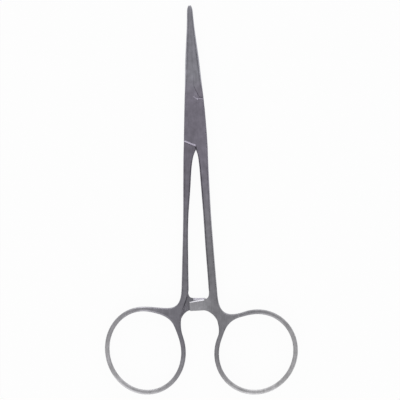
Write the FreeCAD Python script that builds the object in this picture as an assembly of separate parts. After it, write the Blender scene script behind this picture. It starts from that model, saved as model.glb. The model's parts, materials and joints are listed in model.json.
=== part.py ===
import FreeCAD
import Part
import math
import os
from collections import namedtuple
from FreeCAD import Vector

# Straight hemostat forceps with a box joint, lying closed.
# X runs across, Y runs along the seam of the closed jaws to their tips, Z is up.
# The origin is on the pivot's axis, in the flat underside of the box. All sizes are in millimetres.

# Box joint: two plates of the box half, with the tongue of the other half between them
BOX_THICK = 4.2
PLATE_THICK = 1.3
TONGUE_PLAY = 0.05
BOX_LEFT_TOP = 3.04
BOX_LEFT_MID = 3.53
BOX_LEFT_LOW = 4.16
BOX_RIGHT_TOP = 2.98
BOX_RIGHT_MID = 3.34
BOX_RIGHT_LOW = 3.56
BOX_TOP_Y = 7.0
BOX_LOW_Y = 9.0
BOX_BEVEL = 0.42
BOX_TAPER = 0.09
CREST_BEVEL_RUN = 0.45
CREST_BEVEL_DROP = 0.28
SHOULDER_BEVEL_RUN = 0.54
SHOULDER_BEVEL_DROP = 0.42

# Edges of the box plates, as distances up and down from the pivot
CREST_Y = 6.6
CREST_SIDE_X = 1.2
CREST_END_X = 0.33
CREST_END_Y = 7.6
CREST_POLES = (0.38, 0.42, 0.61)
JAW_FLAT_END_Y = 8.3
SHOULDER_RADIUS = 7.36
SHOULDER_LEFT_Y = 7.0
SHOULDER_SEAM_X = 0.45
SHOULDER_SEAM_Y = 8.76
CROTCH_X = 0.23
CROTCH_Y = 9.95
SHOULDER_GAP = 0.14

# The heel of the left jaw, which laps under the right jaw's root
HEEL_X = 1.45
HEEL_Y = 7.5
HEEL_TOP_Y = 10.6
HEEL_GAP = 0.03
HEEL_GROOVE_DEEP = 0.42
HEEL_GROOVE_SHALLOW = 0.15
CREST_RAMP = 2.6

# Slot walls, where the jaw's and the shank's roots close the slot
WALL_EDGE_Y = 4.2
WALL_CLEARANCE = 0.12
TONGUE_INSET = 0.05

# Pivot pin
PIN_DIAMETER = 2.2
PIN_RUNNING_CLEARANCE = 0.03

# Jaws: half-round backs, serrated faces that mesh and lean a little, so that no light passes
JAW_REACH = 36.4
JAW_ROOT_THICK = 4.12
JAW_ROOT_DROP = 0.56
JAW_ROOT_SINK = 2.0
JAW_ROOT_SPREAD = 0.12
JAW_NECK_Y = 12.5
JAW_NECK_LEFT = 2.68
JAW_NECK_RIGHT = 2.58
JAW_NECK_THICK = 3.7
JAW_NECK_CORNER = 1.2
JAW_MID_Y = 22.0
JAW_MID_LEFT = 2.0
JAW_MID_RIGHT = 1.87
JAW_MID_THICK = 2.9
JAW_MID_CORNER = 1.3
JAW_NOSE_LENGTH = 2.8
JAW_NOSE_LEFT = 1.02
JAW_NOSE_RIGHT = 0.93
JAW_NOSE_THICK = 1.8
TIP_HALF_WIDTH = 0.16
TIP_THICK = 0.5
NOSE_TURNS = (0, 26, 48, 66, 80)

# Serrations across the jaw faces
TOOTH_PITCH = 0.8
TOOTH_DEPTH = 0.3
TOOTH_START_Y = 13.0
JAW_GAP = 0.02
FACE_LEAN = 0.025

# Handles: thickness at the box, along the shank and at the ring
SHANK_ROOT_THICK = 4.12
SHANK_LAP_THICK = 3.56
SHANK_UPPER_THICK = 3.6
HANDLE_THICK = 3.0
HANDLE_ROUND = 0.6
SHANK_ROUND = 0.78
SHANK_JOIN_Y = 54.0
RING_STOCK = 1.5
HOLE_SWELL = 0.8
HOLE_SWELL_SPREAD = 17
HOLE_POINTS = 24

# Ratchet: one toothed arm on each shank, the right one above
RATCHET_TOOTH_HEIGHT = 0.4
RATCHET_TOOTH_PITCH = 1.2
RATCHET_TOOTH_COUNT = 3
RATCHET_TIP_CLEARANCE = 0.1
RATCHET_TIP_LAND = 0.5
RATCHET_EDGE = 0.18
ARM_CORNER = 0.25
LOWER_ARM_BEVEL_RUN = 0.76
LOWER_ARM_BEVEL_DROP = 0.6
UPPER_ARM_BEVEL_RUN = 0.42
UPPER_ARM_BEVEL_DROP = 0.33
ARM_ANCHOR = 1.0

# Poles of the arms' blends, as shares of their reach
TOP_BLEND_END = 0.7
TOP_BLEND_POLES = (0.3, 0.2)
FOOT_BLEND_POLES = (0.35, 0.1, 0.45)

MID_Z = BOX_THICK / 2
TALL = BOX_THICK + 4
EDGE_ROUND = 0.5
LOFT_DEGREE = 3
SLANT_SPARE = 1.0
CLEAR = 3 * JAW_REACH

# One station of a shank: distance below the pivot, inner and outer side, thickness, corner radius
Station = namedtuple("Station", "y inner outer thick corner")

# A finger ring: centre, half axes of its stock's centre line, its lean, and where its hole swells
# towards the shank
Ring = namedtuple("Ring", "x y minor major lean swell_at")

# How one side of a shank flows into its ring: the ring's angle where the blend ends, and its reach
Blend = namedtuple("Blend", "angle shank_reach ring_reach")

# A ratchet arm: its root and free end, its upper edge at both, its lower edge, the reach of the upper
# blend into the shank, and where the lower blend starts on the arm and ends in the web
Arm = namedtuple("Arm", "root_x end_x root_top end_top bottom blend foot_start foot_x foot_y")

LEFT_SHANK = [
    Station(-5.5, 0.8, -3.92, SHANK_LAP_THICK, EDGE_ROUND),
    Station(-9.9, -0.26, -4.22, SHANK_LAP_THICK, EDGE_ROUND),
    Station(-11.6, -1.08, -4.34, 3.6, 0.5),
    Station(-15.0, -1.84, -4.55, 3.55, 0.75),
    Station(-21.0, -2.5, -4.88, 3.4, 0.85),
    Station(-28.0, -3.34, -5.22, 3.25, 0.8),
    Station(-36.0, -4.04, -5.7, 3.12, 0.74),
    Station(-45.0, -4.43, -6.36, 3.04, 0.74),
    Station(-SHANK_JOIN_Y, -4.72, -7.03, HANDLE_THICK, SHANK_ROUND),
]
RIGHT_SHANK = [
    Station(-CROTCH_Y, -CROTCH_X, 3.55, SHANK_ROOT_THICK, EDGE_ROUND),
    Station(-11.6, 0.26, 3.53, 3.95, 0.5),
    Station(-15.0, 0.56, 3.5, SHANK_UPPER_THICK, 0.8),
    Station(-21.0, 0.76, 3.5, 3.4, 0.95),
    Station(-28.0, 1.0, 3.53, 3.25, 0.95),
    Station(-36.0, 1.16, 3.7, 3.12, 0.95),
    Station(-45.0, 1.36, 3.98, 3.04, 0.9),
    Station(-SHANK_JOIN_Y, 1.6, 4.3, HANDLE_THICK, SHANK_ROUND),
]
LEFT_RING = Ring(-19.55, -73.24, 12.1, 13.4, 13.0, 49.0)
RIGHT_RING = Ring(15.82, -75.41, 12.45, 13.05, -36.0, 128.0)
LEFT_INNER_BLEND = Blend(17.0, 4.2, 7.3)
LEFT_OUTER_BLEND = Blend(91.3, 8.9, 7.4)
RIGHT_INNER_BLEND = Blend(154.8, 5.4, 3.7)
RIGHT_OUTER_BLEND = Blend(103.7, 5.0, 9.0)
LEFT_ARM = Arm(-4.95, 0.6, -57.15, -57.35, -61.1, 2.2, -4.7, -7.85, -64.6)
RIGHT_ARM = Arm(1.7, -4.72, -57.7, -58.35, -61.3, 2.4, -0.3, 4.2, -65.8)


def flat(x, y):
    return Vector(x, y, 0)


def curve(points):
    # A smooth curve through a few plan points
    spline = Part.BSplineCurve()
    spline.interpolate([flat(*p) for p in points])
    return spline.toShape()


def bend(*poles):
    # A blend that leaves and arrives along its end poles
    bezier = Part.BezierCurve()
    bezier.setPoles([flat(*p) for p in poles])
    return bezier.toShape()


def line(start, end):
    return Part.makeLine(flat(*start), flat(*end))


def prism(edges, low, high, lean=0.0):
    # A plan outline given height; a leaning one keeps its place at the middle of the thickness
    face = Part.Face(Part.Wire(Part.__sortEdges__(edges)))
    face.translate(Vector(lean * (low - MID_Z), 0, low))
    return face.extrude(Vector(lean * (high - low), 0, high - low))


def area(points, low=-2, high=TALL, lean=0.0):
    # A straight-sided plan area given height, used to trim other solids
    loop = points + points[:1]
    return prism([line(a, b) for a, b in zip(loop, loop[1:])], low, high, lean)


def section(y, left, right, thick, corner):
    # A rounded rectangle across the piece at one Y, centred on the middle of the thickness
    low = MID_Z - thick / 2
    high = MID_Z + thick / 2
    r = min(corner, 0.46 * thick, 0.46 * (right - left))
    k = r * (1 - math.sqrt(0.5))

    def at(x, z):
        return Vector(x, y, z)

    return Part.Wire([
        Part.makeLine(at(left + r, low), at(right - r, low)),
        Part.Arc(at(right - r, low), at(right - k, low + k), at(right, low + r)).toShape(),
        Part.makeLine(at(right, low + r), at(right, high - r)),
        Part.Arc(at(right, high - r), at(right - k, high - k), at(right - r, high)).toShape(),
        Part.makeLine(at(right - r, high), at(left + r, high)),
        Part.Arc(at(left + r, high), at(left + k, high - k), at(left, high - r)).toShape(),
        Part.makeLine(at(left, high - r), at(left, low + r)),
        Part.Arc(at(left, low + r), at(left + k, low + k), at(left + r, low)).toShape(),
    ])


def shank(stations):
    rows = [section(s.y, min(s.inner, s.outer), max(s.inner, s.outer), s.thick, s.corner) for s in stations]
    return Part.makeLoft(rows, True, False, False, LOFT_DEGREE)


def jaw_pair(root_thick):
    # Both closed jaws as one tapered blank; the seam parts it later
    nose_y = JAW_REACH - JAW_NOSE_LENGTH
    root_y = BOX_TOP_Y - JAW_ROOT_SINK
    left = -BOX_LEFT_TOP
    right = BOX_RIGHT_TOP
    rows = [
        section(root_y, left - JAW_ROOT_SPREAD, right + JAW_ROOT_SPREAD, root_thick, EDGE_ROUND),
        section(JAW_FLAT_END_Y, left + BOX_TAPER, right - BOX_TAPER, root_thick, EDGE_ROUND),
        section(JAW_NECK_Y, -JAW_NECK_LEFT, JAW_NECK_RIGHT, JAW_NECK_THICK, JAW_NECK_CORNER),
        section(JAW_MID_Y, -JAW_MID_LEFT, JAW_MID_RIGHT, JAW_MID_THICK, JAW_MID_CORNER),
    ]
    full_turn = math.sin(math.radians(NOSE_TURNS[-1]))
    for turn in NOSE_TURNS:
        share = math.cos(math.radians(turn))
        y = nose_y + JAW_NOSE_LENGTH * math.sin(math.radians(turn)) / full_turn
        left = TIP_HALF_WIDTH + (JAW_NOSE_LEFT - TIP_HALF_WIDTH) * share
        right = TIP_HALF_WIDTH + (JAW_NOSE_RIGHT - TIP_HALF_WIDTH) * share
        thick = TIP_THICK + (JAW_NOSE_THICK - TIP_THICK) * share
        rows.append(section(y, -left, right, thick, 0.45 * thick))
    return Part.makeLoft(rows, True, False, False, LOFT_DEGREE)


def seam(shift, heel_shift):
    # The parting line of the jaws from the tips down: serrations, plain stretch, then the heel's slant
    points = [(shift, CLEAR)]
    count = int((JAW_REACH - TOOTH_PITCH / 2 - TOOTH_START_Y) / TOOTH_PITCH)
    top = TOOTH_START_Y + count * TOOTH_PITCH
    points.append((shift, top))
    for i in range(count):
        crest = top - (i + 0.25) * TOOTH_PITCH
        root = top - (i + 0.75) * TOOTH_PITCH
        points.append((shift + TOOTH_DEPTH / 2, crest))
        points.append((shift - TOOTH_DEPTH / 2, root))
    points.append((shift, TOOTH_START_Y))
    points.append((shift, HEEL_TOP_Y))
    points.append((HEEL_X + heel_shift, HEEL_Y))
    points.append((HEEL_X + heel_shift, WALL_EDGE_Y))
    return points


def right_of_seam():
    return area(seam(-JAW_GAP / 2, -HEEL_GAP) + [(CLEAR, WALL_EDGE_Y), (CLEAR, CLEAR)], lean=FACE_LEAN)


def left_of_seam():
    return area(seam(JAW_GAP / 2, 0) + [(-CLEAR, WALL_EDGE_Y), (-CLEAR, CLEAR)], lean=FACE_LEAN)


def box_blank(inset, low, high):
    # The box's plan, drawn from the jaws' roots to the shanks' roots
    left = [
        (-BOX_LEFT_TOP + inset + BOX_TAPER, JAW_FLAT_END_Y),
        (-BOX_LEFT_TOP + inset, BOX_TOP_Y),
        (-BOX_LEFT_MID + inset, 0),
        (-BOX_LEFT_LOW + inset, -BOX_LOW_Y),
        (-BOX_LEFT_LOW + inset - BOX_TAPER, -CROTCH_Y),
    ]
    right = [
        (BOX_RIGHT_TOP - inset - BOX_TAPER, JAW_FLAT_END_Y),
        (BOX_RIGHT_TOP - inset, BOX_TOP_Y),
        (BOX_RIGHT_MID - inset, 0),
        (BOX_RIGHT_LOW - inset, -BOX_LOW_Y),
        (BOX_RIGHT_LOW - inset, -CROTCH_Y),
    ]
    edges = [curve(left), curve(right), line(left[0], right[0]), line(left[-1], right[-1])]
    return prism(edges, low, high)


def band(low_y, high_y, low=-2, high=TALL):
    # Everything between two distances along the forceps
    return area([(-CLEAR, low_y), (CLEAR, low_y), (CLEAR, high_y), (-CLEAR, high_y)], low, high)


def crest_outline(far, shift, z):
    # The recess seen from above; its crest moves towards the pivot by the shift
    start = (-CREST_END_X, CREST_END_Y - shift)
    side = (CREST_SIDE_X, CREST_Y - shift)
    run = side[0] - start[0]
    fall = side[1] - start[1]
    first_x, first_y, second_x = CREST_POLES
    edges = [
        bend(start, (start[0] + first_x * run, start[1] + first_y * fall),
             (start[0] + second_x * run, side[1]), side),
        line(side, (CLEAR, side[1])),
        line((CLEAR, side[1]), (CLEAR, far)),
        line((CLEAR, far), (-CREST_END_X, far)),
        line((-CREST_END_X, far), start),
    ]
    wire = Part.Wire(edges)
    wire.translate(Vector(0, 0, z))
    return wire


def crest_recess():
    # The shallow run-out on both faces of the box: a slanted step down at the plates' curved crest, and
    # a ramp back up to the jaws
    far = CREST_END_Y + CREST_RAMP
    near = CREST_Y - 2 * CREST_BEVEL_RUN
    low = BOX_THICK - CREST_BEVEL_DROP
    rows = [crest_outline(far, 0, low), crest_outline(far, 2 * CREST_BEVEL_RUN, low + 2 * CREST_BEVEL_DROP)]
    ramp = [
        Vector(-CLEAR, near, low),
        Vector(-CLEAR, CREST_Y, low),
        Vector(-CLEAR, far, BOX_THICK),
        Vector(-CLEAR, far, TALL),
        Vector(-CLEAR, near, TALL),
    ]
    wedge = Part.Face(Part.makePolygon(ramp + ramp[:1])).extrude(Vector(2 * CLEAR, 0, 0))
    return both_faces(Part.makeLoft(rows, True, True).common(wedge))


def heel_groove():
    # The V between the rounded edges of the heel and the jaw root beside it, running out up the jaws
    ends = [
        (flat(HEEL_X - HEEL_GAP / 2, HEEL_Y), BOX_THICK - HEEL_GROOVE_DEEP),
        (flat(0, HEEL_TOP_Y), BOX_THICK - HEEL_GROOVE_SHALLOW),
    ]
    way = (ends[1][0] - ends[0][0]).normalize()
    across = Vector(way.y, -way.x, 0)
    rows = []
    for foot, floor in ends:
        bottom = foot + Vector(0, 0, floor)
        up = Vector(0, 0, SLANT_SPARE)
        wide = across * SLANT_SPARE
        rows.append(Part.makePolygon([bottom, bottom + up + wide, bottom + up - wide, bottom]))
    return both_faces(Part.makeLoft(rows, True, True))


def beyond_crest():
    # What the other half's jaw root takes up, right of the heel
    side = HEEL_X - HEEL_GAP
    seam_x = -JAW_GAP / 2
    right = [(side, CREST_Y), (CLEAR, CREST_Y), (CLEAR, JAW_REACH)]
    left = [(seam_x, JAW_REACH), (seam_x, HEEL_TOP_Y), (side, HEEL_Y)]
    return area(right + left, lean=FACE_LEAN)


def slant(start, end, look, level, run, drop):
    # What a slanted bevel takes off along an edge of an upper face, which looks towards the tips where
    # look is 1, and towards the rings where it is -1
    way = (flat(*end) - flat(*start)).normalize()
    outward = Vector(-way.y, way.x, 0)
    if outward.y * look < 0:
        outward = -outward
    foot = flat(*start) + Vector(0, 0, level)
    rise = Vector(0, 0, drop / run)
    corners = [
        foot - outward * (run + SLANT_SPARE) + rise * SLANT_SPARE,
        foot + outward * SLANT_SPARE + rise * SLANT_SPARE,
        foot + outward * SLANT_SPARE - rise * (run + SLANT_SPARE),
    ]
    return Part.Face(Part.makePolygon(corners + corners[:1])).extrude(flat(*end) - flat(*start))


def both_faces(cutter):
    # The same cut from the upper and the lower face
    return cutter.fuse(cutter.mirror(Vector(0, 0, MID_Z), Vector(0, 0, 1)))


def joined(pieces):
    # One solid from pieces that share faces or overlap
    whole = pieces[0]
    for piece in pieces[1:]:
        whole = whole.fuse(piece)
    return whole.removeSplitter()


def lower_left(gap):
    # What lies past the plates' lower edge and left of the shanks' parting line, moved off by a gap
    slant = math.atan2(SHOULDER_SEAM_Y - SHOULDER_LEFT_Y, BOX_LEFT_LOW - SHOULDER_SEAM_X)
    off = (-gap * math.sin(slant), -gap * math.cos(slant))
    run = 2 * BOX_LEFT_LOW
    seam_corner = (-SHOULDER_SEAM_X + off[0], -SHOULDER_SEAM_Y + off[1])
    left_corner = (seam_corner[0] - run * math.cos(slant), seam_corner[1] + run * math.sin(slant))
    crotch = (-CROTCH_X - gap, -CROTCH_Y)
    return [left_corner, seam_corner, crotch, (-CROTCH_X - gap, -CLEAR), (left_corner[0], -CLEAR)]


def slot_walls(clearance):
    # The two walls that end the slot, each with all that lies behind it
    rise = HEEL_Y - WALL_EDGE_Y
    run = HEEL_X + BOX_LEFT_TOP
    reach = BOX_LEFT_LOW
    slope = rise / run
    tilt = math.atan(slope)
    down = clearance / math.cos(tilt)
    start = (HEEL_X, HEEL_Y - down)
    end = (HEEL_X - reach - run, HEEL_Y - down - slope * (reach + run))
    upper = [start, end, (end[0], CLEAR), (HEEL_X, CLEAR)]
    low_run = BOX_RIGHT_LOW + CROTCH_X
    low_slope = (CROTCH_Y - WALL_EDGE_Y) / low_run
    low_up = clearance / math.cos(math.atan(low_slope))
    low_start = (-CROTCH_X - clearance, -CROTCH_Y + low_up - low_slope * clearance)
    low_end = (low_start[0] + low_run + reach, low_start[1] + low_slope * (low_run + reach))
    lower = [low_start, low_end, (low_end[0], -CLEAR), (low_start[0], -CLEAR)]
    return upper, lower


def slot_height(play):
    return PLATE_THICK + TONGUE_PLAY - play, BOX_THICK - PLATE_THICK - TONGUE_PLAY + play


def pin_shape(radius):
    return Part.makeCylinder(radius, BOX_THICK)


def bevel_outer(solid, size, keep):
    # Bevels the edges that lie in the two outer faces, where keep says so
    chosen = []
    for edge in solid.Edges:
        heights = [v.Z for v in edge.Vertexes] + [edge.CenterOfMass.z]
        outer = max(heights) < 1e-6 or min(heights) > BOX_THICK - 1e-6
        if outer and keep(edge.CenterOfMass):
            chosen.append(edge)
    return solid.makeChamfer(size, chosen)


def ring_frame(ring):
    # The unit vectors along the ring's short and long half axis
    lean = math.radians(ring.lean)
    return Vector(math.cos(lean), math.sin(lean), 0), Vector(-math.sin(lean), math.cos(lean), 0)


def ring_point(ring, grow, angle):
    # A point of the ring's outline that lies at a compass angle from its centre, and the way round
    short, long = ring_frame(ring)
    a = ring.minor + grow
    b = ring.major + grow
    turn = math.radians(angle - ring.lean)
    t = math.atan2(math.sin(turn) / b, math.cos(turn) / a)
    centre = flat(ring.x, ring.y)
    point = centre + short * (a * math.cos(t)) + long * (b * math.sin(t))
    way = short * (-a * math.sin(t)) + long * (b * math.cos(t))
    return point, way.normalize()


def ring_ellipse(ring, grow):
    short, long = ring_frame(ring)
    centre = flat(ring.x, ring.y)
    return Part.Ellipse(centre + long * (ring.major + grow), centre - short * (ring.minor + grow), centre)


def ring_hole(ring):
    # The finger hole, a little fuller towards the shank, where the web hollows out
    points = []
    for i in range(HOLE_POINTS):
        angle = i * 360 / HOLE_POINTS
        off = (angle - ring.swell_at + 180) % 360 - 180
        swell = HOLE_SWELL * math.exp(-(off / HOLE_SWELL_SPREAD) ** 2)
        points.append(ring_point(ring, swell - RING_STOCK / 2, angle)[0])
    spline = Part.BSplineCurve()
    spline.interpolate(Points=points, PeriodicFlag=True)
    return spline.toShape()


def handle_end(stations, ring, inner_blend, outer_blend, side):
    # The shank's end, its two blends and the finger ring, as one rounded plate
    last = stations[-1]
    before = stations[-2]
    drop = last.y - before.y
    inner_way = Vector(last.inner - before.inner, drop, 0).normalize()
    outer_way = Vector(last.outer - before.outer, drop, 0).normalize()
    inner_start = flat(last.inner, last.y)
    outer_start = flat(last.outer, last.y)
    grow = RING_STOCK / 2
    inner_end, way_in = ring_point(ring, grow, inner_blend.angle)
    outer_end, way_out = ring_point(ring, grow, outer_blend.angle)
    way_in = way_in * side
    way_out = way_out * -side
    edges = [
        Part.makeLine(outer_start, inner_start),
        blend_edge(inner_start, inner_way, inner_end, way_in, inner_blend),
        Part.ArcOfEllipse(*ring_arc(ring, grow, inner_end, outer_end, side)).toShape(),
        blend_edge(outer_start, outer_way, outer_end, way_out, outer_blend),
    ]
    outline = Part.Wire(Part.__sortEdges__(edges))
    hole = Part.Wire([ring_hole(ring)])
    face = Part.Face(outline).cut(Part.Face(hole)).Faces[0]
    face.translate(Vector(0, 0, MID_Z - HANDLE_THICK / 2))
    plate = face.extrude(Vector(0, 0, HANDLE_THICK))
    rims = []
    for edge in plate.Edges:
        level = abs(edge.Vertexes[0].Z - edge.Vertexes[-1].Z) < 1e-6
        at_join = abs(edge.CenterOfMass.y - last.y) < 1e-6
        if level and not at_join:
            rims.append(edge)
    return plate.makeFillet(HANDLE_ROUND, rims)


def blend_edge(start, start_way, end, end_way, blend):
    bezier = Part.BezierCurve()
    reach_out = start + start_way * blend.shank_reach
    reach_in = end - end_way * blend.ring_reach
    bezier.setPoles([start, reach_out, reach_in, end])
    return bezier.toShape()


def ring_arc(ring, grow, inner_end, outer_end, side):
    # The long way round the ring between the two blends
    ellipse = ring_ellipse(ring, grow)
    a = ellipse.parameter(inner_end)
    b = ellipse.parameter(outer_end)
    if side < 0:
        a, b = b, a
    if b < a:
        b += 2 * math.pi
    return ellipse, a, b


def ratchet_arm(arm, side, upper):
    # A half-thickness plate from one shank towards the other, with blends into its root
    base = HANDLE_THICK / 2 - RATCHET_TIP_CLEARANCE / 2 - RATCHET_TOOTH_HEIGHT
    if upper:
        low = MID_Z + HANDLE_THICK / 2 - base
        high = MID_Z + HANDLE_THICK / 2
    else:
        low = MID_Z - HANDLE_THICK / 2
        high = low + base
    inside = arm.root_x + side * ARM_ANCHOR
    top_root = (arm.root_x, arm.root_top + arm.blend)
    top_start = (arm.root_x - side * arm.blend * TOP_BLEND_END, arm.root_top)
    down, across = TOP_BLEND_POLES
    first, second, sag = FOOT_BLEND_POLES
    foot = (arm.foot_x, arm.foot_y)
    foot_inside = (arm.foot_x + side * ARM_ANCHOR, arm.bottom)
    foot_start = (arm.foot_start, arm.bottom)
    sweep = arm.foot_x - arm.foot_start
    end_top = (arm.end_x + side * ARM_CORNER, arm.end_top)
    end_low = (arm.end_x + side * ARM_CORNER, arm.bottom)
    edges = [
        line((inside, top_root[1]), top_root),
        bend(top_root, (arm.root_x, arm.root_top + down * arm.blend),
             (arm.root_x - side * across * arm.blend, arm.root_top), top_start),
        line(top_start, end_top),
        line(end_top, (arm.end_x, arm.end_top - ARM_CORNER)),
        line((arm.end_x, arm.end_top - ARM_CORNER), (arm.end_x, arm.bottom + ARM_CORNER)),
        line((arm.end_x, arm.bottom + ARM_CORNER), end_low),
        line(end_low, foot_start),
        bend(foot_start, (arm.foot_start + first * sweep, arm.bottom),
             (arm.foot_x - second * sweep, arm.bottom + sag * (arm.foot_y - arm.bottom)), foot),
        line(foot, foot_inside),
        line(foot_inside, (inside, top_root[1])),
    ]
    plate = prism(edges, low, high)
    run = UPPER_ARM_BEVEL_RUN if upper else LOWER_ARM_BEVEL_RUN
    drop = UPPER_ARM_BEVEL_DROP if upper else LOWER_ARM_BEVEL_DROP
    past_end = (arm.end_x - side * SLANT_SPARE, arm.end_top)
    plate = plate.cut(slant(top_start, past_end, 1, high, run, drop))
    for i in range(RATCHET_TOOTH_COUNT):
        x = arm.end_x + side * (RATCHET_TIP_LAND + i * RATCHET_TOOTH_PITCH)
        plate = plate.fuse(ratchet_tooth(arm, x, side, low if upper else high, upper))
    return plate


def ratchet_tooth(arm, x, side, face_z, upper):
    # A saw tooth across the arm: steep towards its own shank, so that it catches when pulled open
    reach = RATCHET_TOOTH_HEIGHT * (-1 if upper else 1)
    sink = -0.05 * (-1 if upper else 1)
    slim = RATCHET_EDGE
    low_y = arm.bottom + slim
    high_y = min(arm.end_top, arm.root_top) - (slim if upper else LOWER_ARM_BEVEL_RUN)
    tip_x = x + side * RATCHET_TOOTH_PITCH * 0.85
    profile = [
        Vector(x, low_y, face_z + sink),
        Vector(x, low_y, face_z),
        Vector(tip_x, low_y, face_z + reach),
        Vector(x + side * RATCHET_TOOTH_PITCH, low_y, face_z),
        Vector(x + side * RATCHET_TOOTH_PITCH, low_y, face_z + sink),
    ]
    face = Part.Face(Part.makePolygon(profile + profile[:1]))
    return face.extrude(Vector(0, high_y - low_y, 0))


def make_box_half():
    low, high = slot_height(TONGUE_PLAY)
    block = box_blank(0, 0, BOX_THICK).cut(area(lower_left(0)))
    block = bevel_outer(block, BOX_BEVEL, lambda mid: -CROTCH_Y + 0.01 < mid.y < JAW_FLAT_END_Y - 0.01)
    recess = crest_recess()
    left_corner, seam_corner = lower_left(0)[:2]
    shoulder = slant(left_corner, seam_corner, -1, BOX_THICK, SHOULDER_BEVEL_RUN, SHOULDER_BEVEL_DROP)
    block = block.cut(beyond_crest()).cut(recess).cut(both_faces(shoulder))
    upper, lower = slot_walls(0)
    slot = band(-CLEAR, HEEL_Y + HEEL_GAP, low, high).cut(area(upper)).cut(area(lower))
    block = block.cut(slot).cut(pin_shape(PIN_DIAMETER / 2))
    jaw = jaw_pair(JAW_ROOT_THICK).cut(right_of_seam())
    jaw = jaw.cut(band(-CLEAR, JAW_FLAT_END_Y)).cut(recess)
    leg = shank(RIGHT_SHANK)
    end = handle_end(RIGHT_SHANK, RIGHT_RING, RIGHT_INNER_BLEND, RIGHT_OUTER_BLEND, 1)
    return joined([block, jaw, leg, end, ratchet_arm(RIGHT_ARM, 1, True)]).cut(heel_groove())


def make_tongue_half():
    low, high = slot_height(0)
    upper, lower = slot_walls(WALL_CLEARANCE)
    tongue = box_blank(TONGUE_INSET, low, high).cut(area(upper)).cut(area(lower)).cut(band(-CLEAR, -CROTCH_Y))
    jaw = jaw_pair(JAW_ROOT_THICK - JAW_ROOT_DROP).cut(left_of_seam())
    jaw = jaw.cut(Part.makeCylinder(SHOULDER_RADIUS, TALL + 2, Vector(0, 0, -2)))
    whole = shank(LEFT_SHANK)
    leg = whole.common(area(lower_left(SHOULDER_GAP)))
    leg = leg.fuse(whole.common(band(-SHANK_JOIN_Y - 1, -CROTCH_Y)))
    body = joined([tongue, jaw, leg]).cut(pin_shape(PIN_DIAMETER / 2 + PIN_RUNNING_CLEARANCE))
    body = body.cut(heel_groove())
    end = handle_end(LEFT_SHANK, LEFT_RING, LEFT_INNER_BLEND, LEFT_OUTER_BLEND, -1)
    return joined([body, end, ratchet_arm(LEFT_ARM, -1, False)])


def make_pivot_pin():
    return pin_shape(PIN_DIAMETER / 2)


def main():
    os.makedirs("parts", exist_ok=True)
    parts = {
        "box_half": make_box_half(),
        "tongue_half": make_tongue_half(),
        "pivot_pin": make_pivot_pin(),
    }
    for name, shape in parts.items():
        shape.exportStep("parts/%s.step" % name)
        print(name, len(shape.Solids), shape.isValid(), round(shape.Volume, 2), shape.BoundBox)


main()
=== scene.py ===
import json
import math

import bmesh
import bpy
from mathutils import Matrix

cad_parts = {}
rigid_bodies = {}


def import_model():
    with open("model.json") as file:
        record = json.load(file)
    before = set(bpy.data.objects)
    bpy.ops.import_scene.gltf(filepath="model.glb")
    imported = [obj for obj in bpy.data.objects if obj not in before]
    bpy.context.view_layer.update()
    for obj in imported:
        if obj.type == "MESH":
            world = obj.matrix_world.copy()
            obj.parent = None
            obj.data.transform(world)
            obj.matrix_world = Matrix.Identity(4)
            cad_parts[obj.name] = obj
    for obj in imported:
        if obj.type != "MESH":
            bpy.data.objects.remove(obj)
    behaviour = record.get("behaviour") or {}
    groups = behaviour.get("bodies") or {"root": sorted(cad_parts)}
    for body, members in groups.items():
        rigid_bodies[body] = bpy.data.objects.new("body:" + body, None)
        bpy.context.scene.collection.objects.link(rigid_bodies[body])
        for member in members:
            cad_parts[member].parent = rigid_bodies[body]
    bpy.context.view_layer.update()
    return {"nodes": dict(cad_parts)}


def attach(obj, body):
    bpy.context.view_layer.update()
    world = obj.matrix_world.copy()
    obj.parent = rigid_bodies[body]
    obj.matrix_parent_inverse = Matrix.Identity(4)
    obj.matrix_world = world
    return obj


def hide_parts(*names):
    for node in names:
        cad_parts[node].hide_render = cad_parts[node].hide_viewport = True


# Straight hemostat forceps in satin stainless steel, lying closed on white, seen from straight above.
# Everything is in metres; MM turns millimetres into them.
MM = 0.001

# The picture is 400 px wide at 0.32 mm each, with the tips leaning a little to the left
PICTURE_WIDTH = 128 * MM
PICTURE_CENTRE = (0.268 * MM, -25.964 * MM)
PICTURE_ROLL = -2.8
CAMERA_HEIGHT = 0.5
CAMERA_NEAR = 0.01

# The floor glows white to the camera and to the steel, and keeps a faint shadow
FLOOR_SIZE = 3.0
FLOOR_DROP = 0.02 * MM
FLOOR_PAINT = "#ffffff"
FLOOR_WHITE = 1.0
FLOOR_GLOW = 0.95

# The studio: an even ceiling, bright walls past the tips and the rings, dim walls at both sides
SKY_HIGH = 0.66
SKY_ENDS = 1.3
SKY_SIDES = 0.08
SKY_RISE = 0.75

# Each lamp's name, place, size in metres and power in watts; all of them face the pivot
LAMPS = [
    ("tip_lamp", (0.34, 0.74, 0.42), 0.8, 1.0),
    ("low_tip_lamp", (-0.04, 0.80, 0.17), 0.36, 0.8),
    ("ring_lamp", (-0.25, -0.80, 0.45), 0.5, 1.7),
]

# Where the finish changes, in mm: along Y from the box to the jaws, the shanks, the handles and the duller
# steel below them, and across X from the shank to the ratchet arm. The rings' painted sheen, a lighter shade
# that stands in for the white floor reflected in their thin flanks, grows by the distance from the arms out
# to the far side of the rings
JAW_FINISH = (7, 15)
SHANK_FINISH = (-10, -45)
HANDLE_FINISH = (-55, -58)
DULL_FINISH = (-58.8, -61.5)
ARM_FINISH = (4.4, -1.4)
RING_SHEEN_SPAN = (10, 40)
ARMS_PLACE = (0, -58 * MM, 0)

# Each half's shades of steel; the light ring shade is painted sheen, standing in for the white floor
# reflected in the rings
BOX_HALF_SHADES = {
    "box": "#96919e", "jaw": "#a9a8b1", "shank": "#9b9a9f", "arm": "#b4b3b8", "ring": "#cecdcf"}
TONGUE_HALF_SHADES = {
    "box": "#938e9a", "jaw": "#a8a7b0", "shank": "#94929a", "arm": "#94929a", "ring": "#c7c6c9"}

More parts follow.
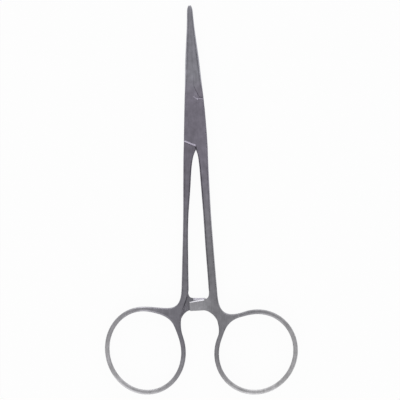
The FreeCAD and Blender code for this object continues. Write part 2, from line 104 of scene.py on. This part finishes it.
# The way of the brushing, in degrees from the forceps' length
BOX_HALF_BRUSH_TURN = 0
TONGUE_HALF_BRUSH_TURN = 4
PIN_BRUSH_TURN = 40

# Brushing marks are really about 0.03 mm apart, and are drawn coarser so that they show. Sizes in mm.
BRUSH_WIDTH = 0.3
BRUSH_LENGTH = 6.0
MOTTLE_SIZE = 1.8
CLOUD_SIZE = 9.0
GRIT_SIZE = 0.22

# How many finer layers each pattern has, and how strong they are
STREAK_LAYERS = (3, 0.6)
MOTTLE_LAYERS = (4, 0.62)
CLOUD_LAYERS = (2, 0.5)
GRIT_LAYERS = (2, 0.6)

# Nearly all of a pattern lies between these values; they become the darkest and the lightest tone
PATTERN_ENDS = (0.3, 0.7)
STREAK_TONES = (0.9, 1.1)
MOTTLE_TONES = (0.86, 1.14)
CLOUD_TONES = (0.9, 1.1)

# The steel's roughness, what the dull finish adds to it, and the depth of its marks
STEEL_ROUGHNESS = (0.30, 0.40)
DULL_ROUGHNESS = 0.2
GRIT_SHARE = 0.5
RELIEF_STRENGTH = 0.12
RELIEF_DEPTH = 0.02 * MM

# The skin's points closer than this are one, and edges that turn by more than this angle stay crisp
WELD = 0.0005 * MM
CRISP_ANGLE = 32


def linear(hex_colour):
    # An sRGB hex value as the linear colour that a shader takes
    parts = [int(hex_colour[i:i + 2], 16) / 255 for i in (1, 3, 5)]
    return [p / 12.92 if p <= 0.04045 else ((p + 0.055) / 1.055) ** 2.4 for p in parts] + [1]


def add(tree, kind, settings, inputs):
    # One node with its settings; an input is a value, or the output socket that feeds it
    node = tree.nodes.new(kind)
    for name, value in settings.items():
        setattr(node, name, value)
    for name, value in inputs.items():
        if isinstance(value, bpy.types.NodeSocket):
            tree.links.new(value, node.inputs[name])
        else:
            node.inputs[name].default_value = value
    return node


def new_tree(name):
    material = bpy.data.materials.new(name)
    material.use_nodes = True
    material.node_tree.nodes.clear()
    return material, material.node_tree


def calculate(tree, operation, *values):
    inputs = dict(enumerate(values))
    return add(tree, "ShaderNodeMath", {"operation": operation}, inputs).outputs["Value"]


def share_between(tree, value, ends):
    # 0 at the first end and 1 at the second, both in mm
    return add(tree, "ShaderNodeMapRange", {"interpolation_type": "SMOOTHSTEP"}, {
        "Value": value, "From Min": ends[0] * MM, "From Max": ends[1] * MM}).outputs["Result"]


def noise(tree, place, scale, layers):
    return add(tree, "ShaderNodeTexNoise", {}, {
        "Vector": place, "Scale": scale, "Detail": layers[0], "Roughness": layers[1]}).outputs["Fac"]


def spread(tree, pattern, ends):
    # The pattern's own values stretched between two ends
    return add(tree, "ShaderNodeMapRange", {}, {
        "Value": pattern, "From Min": PATTERN_ENDS[0], "From Max": PATTERN_ENDS[1],
        "To Min": ends[0], "To Max": ends[1]}).outputs["Result"]


def blend_shades(tree, place, apart, shades):
    # The box's shade, over which those of the jaw, the shank, the ratchet arm and the ring are laid in turn;
    # the ring's lighter shade is a painted sheen
    from_arms = add(tree, "ShaderNodeVectorMath", {"operation": "DISTANCE"}, {0: place, 1: ARMS_PLACE})
    in_handle = share_between(tree, apart.outputs["Y"], HANDLE_FINISH)
    # How far the rings' painted sheen has grown, from the arms out to the far side of the rings
    ring_sheen = share_between(tree, from_arms.outputs["Value"], RING_SHEEN_SPAN)
    in_arm = share_between(tree, apart.outputs["X"], ARM_FINISH)
    shares = {
        "jaw": share_between(tree, apart.outputs["Y"], JAW_FINISH),
        "shank": share_between(tree, apart.outputs["Y"], SHANK_FINISH),
        "arm": calculate(tree, "MULTIPLY", in_arm, in_handle),
        "ring": calculate(tree, "MULTIPLY", ring_sheen, in_handle),
    }
    shade = linear(shades["box"])
    for part, share in shares.items():
        shade = add(tree, "ShaderNodeMixRGB", {}, {
            "Fac": share, "Color1": shade, "Color2": linear(shades[part])}).outputs["Color"]
    return shade


def satin_stainless(name, shades, brush_turn):
    # Martensitic stainless steel, ground, brushed lengthwise and bead-blasted: an even, soft sheen with
    # faint streaks, darker on the box, brighter on the jaws and the ratchet arm, and with a painted sheen
    # that lightens the finger rings
    material, tree = new_tree(name)
    place = add(tree, "ShaderNodeTexCoord", {}, {}).outputs["Object"]
    apart = add(tree, "ShaderNodeSeparateXYZ", {}, {"Vector": place})
    along = add(tree, "ShaderNodeMapping", {}, {
        "Vector": place, "Rotation": (0, 0, math.radians(brush_turn)),
        "Scale": (1 / (BRUSH_WIDTH * MM), 1 / (BRUSH_LENGTH * MM), 1 / (BRUSH_WIDTH * MM))})
    streaks = noise(tree, along.outputs["Vector"], 1, STREAK_LAYERS)
    mottle = noise(tree, place, 1 / (MOTTLE_SIZE * MM), MOTTLE_LAYERS)
    clouds = noise(tree, place, 1 / (CLOUD_SIZE * MM), CLOUD_LAYERS)
    grit = noise(tree, place, 1 / (GRIT_SIZE * MM), GRIT_LAYERS)

    streak_tone = spread(tree, streaks, STREAK_TONES)
    mottle_tone = spread(tree, mottle, MOTTLE_TONES)
    cloud_tone = spread(tree, clouds, CLOUD_TONES)
    tone = calculate(tree, "MULTIPLY", streak_tone, mottle_tone)
    tone = calculate(tree, "MULTIPLY", tone, cloud_tone)
    shade = blend_shades(tree, place, apart, shades)
    colour = add(tree, "ShaderNodeVectorMath", {"operation": "SCALE"}, {"Vector": shade, "Scale": tone})

    duller = share_between(tree, apart.outputs["Y"], DULL_FINISH)
    steel_rough = spread(tree, mottle, STEEL_ROUGHNESS)
    rough = calculate(tree, "MULTIPLY_ADD", duller, DULL_ROUGHNESS, steel_rough)
    relief = calculate(tree, "MULTIPLY_ADD", grit, GRIT_SHARE, streaks)
    bump = add(tree, "ShaderNodeBump", {}, {
        "Strength": RELIEF_STRENGTH, "Distance": RELIEF_DEPTH, "Height": relief})
    steel = add(tree, "ShaderNodeBsdfPrincipled", {}, {
        "Base Color": colour.outputs["Vector"], "Metallic": 1.0,
        "Roughness": rough, "Normal": bump.outputs["Normal"]})
    add(tree, "ShaderNodeOutputMaterial", {}, {"Surface": steel.outputs["BSDF"]})
    return material


def white_floor():
    # White to the camera and in the steel's reflections, plain matt paint to the light
    material, tree = new_tree("matt_white_floor")
    ray = add(tree, "ShaderNodeLightPath", {}, {})
    paint = add(tree, "ShaderNodeBsdfDiffuse", {}, {"Color": linear(FLOOR_PAINT)})
    glow = add(tree, "ShaderNodeEmission", {}, {"Strength": FLOOR_WHITE})
    seen = calculate(tree, "MAXIMUM", ray.outputs["Is Camera Ray"], ray.outputs["Is Glossy Ray"])
    seen = calculate(tree, "MAXIMUM", seen, ray.outputs["Is Transmission Ray"])
    share = calculate(tree, "MULTIPLY", seen, FLOOR_GLOW)
    mixed = add(tree, "ShaderNodeMixShader", {}, {
        "Fac": share, 1: paint.outputs["BSDF"], 2: glow.outputs["Emission"]})
    add(tree, "ShaderNodeOutputMaterial", {}, {"Surface": mixed.outputs["Shader"]})
    return material


def lay_floor():
    shape = bmesh.new()
    bmesh.ops.create_grid(shape, x_segments=1, y_segments=1, size=FLOOR_SIZE / 2)
    bmesh.ops.translate(shape, verts=shape.verts, vec=(0, 0, -FLOOR_DROP))
    mesh = bpy.data.meshes.new("floor")
    shape.to_mesh(mesh)
    shape.free()
    mesh.materials.append(white_floor())
    floor = bpy.data.objects.new("floor", mesh)
    bpy.context.scene.collection.objects.link(floor)


def hang_sky():
    # The walls go by how far a direction points along Y, and the ceiling takes over as it rises
    world = bpy.data.worlds.new("studio")
    world.use_nodes = True
    tree = world.node_tree
    tree.nodes.clear()
    way = add(tree, "ShaderNodeTexCoord", {}, {}).outputs["Generated"]
    apart = add(tree, "ShaderNodeSeparateXYZ", {}, {"Vector": way})
    endwards = calculate(tree, "MULTIPLY", apart.outputs["Y"], apart.outputs["Y"])
    walls = add(tree, "ShaderNodeMapRange", {}, {
        "Value": endwards, "To Min": SKY_SIDES, "To Max": SKY_ENDS})
    level = add(tree, "ShaderNodeMapRange", {"interpolation_type": "SMOOTHSTEP"}, {
        "Value": apart.outputs["Z"], "From Max": SKY_RISE,
        "To Min": walls.outputs["Result"], "To Max": SKY_HIGH})
    light = add(tree, "ShaderNodeBackground", {}, {"Strength": level.outputs["Result"]})
    add(tree, "ShaderNodeOutputWorld", {}, {"Surface": light.outputs["Background"]})
    bpy.context.scene.world = world


def hang_lamps():
    for name, place, size, power in LAMPS:
        data = bpy.data.lights.new(name, "AREA")
        data.size = size
        data.energy = power
        lamp = bpy.data.objects.new(name, data)
        lamp.location = place
        aim = -lamp.location
        lamp.rotation_euler = aim.to_track_quat("-Z", "Y").to_euler()
        bpy.context.scene.collection.objects.link(lamp)


def set_camera():
    data = bpy.data.cameras.new("camera")
    data.type = "ORTHO"
    data.ortho_scale = PICTURE_WIDTH
    data.clip_start = CAMERA_NEAR
    camera = bpy.data.objects.new("camera", data)
    camera.location = (PICTURE_CENTRE[0], PICTURE_CENTRE[1], CAMERA_HEIGHT)
    camera.rotation_euler = (0, 0, math.radians(PICTURE_ROLL))
    bpy.context.scene.collection.objects.link(camera)
    bpy.context.scene.camera = camera


def smooth_piece(node, name, body, finish):
    # The part's own shape as one closed skin, whose rounded edges shade round and whose cut edges stay crisp
    shape = bmesh.new()
    shape.from_mesh(node.data)
    bmesh.ops.remove_doubles(shape, verts=shape.verts, dist=WELD)
    for face in shape.faces:
        face.smooth = True
        face.material_index = 0
    for edge in shape.edges:
        edge.smooth = edge.calc_face_angle(0) < math.radians(CRISP_ANGLE)
    mesh = bpy.data.meshes.new(name)
    shape.to_mesh(mesh)
    shape.free()
    mesh.materials.append(finish)
    piece = bpy.data.objects.new(name, mesh)
    bpy.context.scene.collection.objects.link(piece)
    weighting = piece.modifiers.new("even_faces", "WEIGHTED_NORMAL")
    weighting.keep_sharp = True
    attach(piece, body)
    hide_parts(node.name)


def finish_steel(nodes):
    box_half = satin_stainless("satin_steel_box_half", BOX_HALF_SHADES, BOX_HALF_BRUSH_TURN)
    tongue_half = satin_stainless("satin_steel_tongue_half", TONGUE_HALF_SHADES, TONGUE_HALF_BRUSH_TURN)
    pin = satin_stainless("satin_steel_pin", BOX_HALF_SHADES, PIN_BRUSH_TURN)
    smooth_piece(nodes["box_half"], "box_half_forging", "box_side", box_half)
    smooth_piece(
        nodes["tongue_half"], "tongue_half_forging", "tongue_side", tongue_half)
    smooth_piece(nodes["pivot_pin"], "pivot_rivet", "box_side", pin)


def main():
    for item in list(bpy.data.objects):
        bpy.data.objects.remove(item)
    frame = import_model()
    bpy.context.scene.view_settings.view_transform = "Standard"
    finish_steel(frame["nodes"])
    lay_floor()
    hang_sky()
    hang_lamps()
    set_camera()
    bpy.context.view_layer.update()


main()
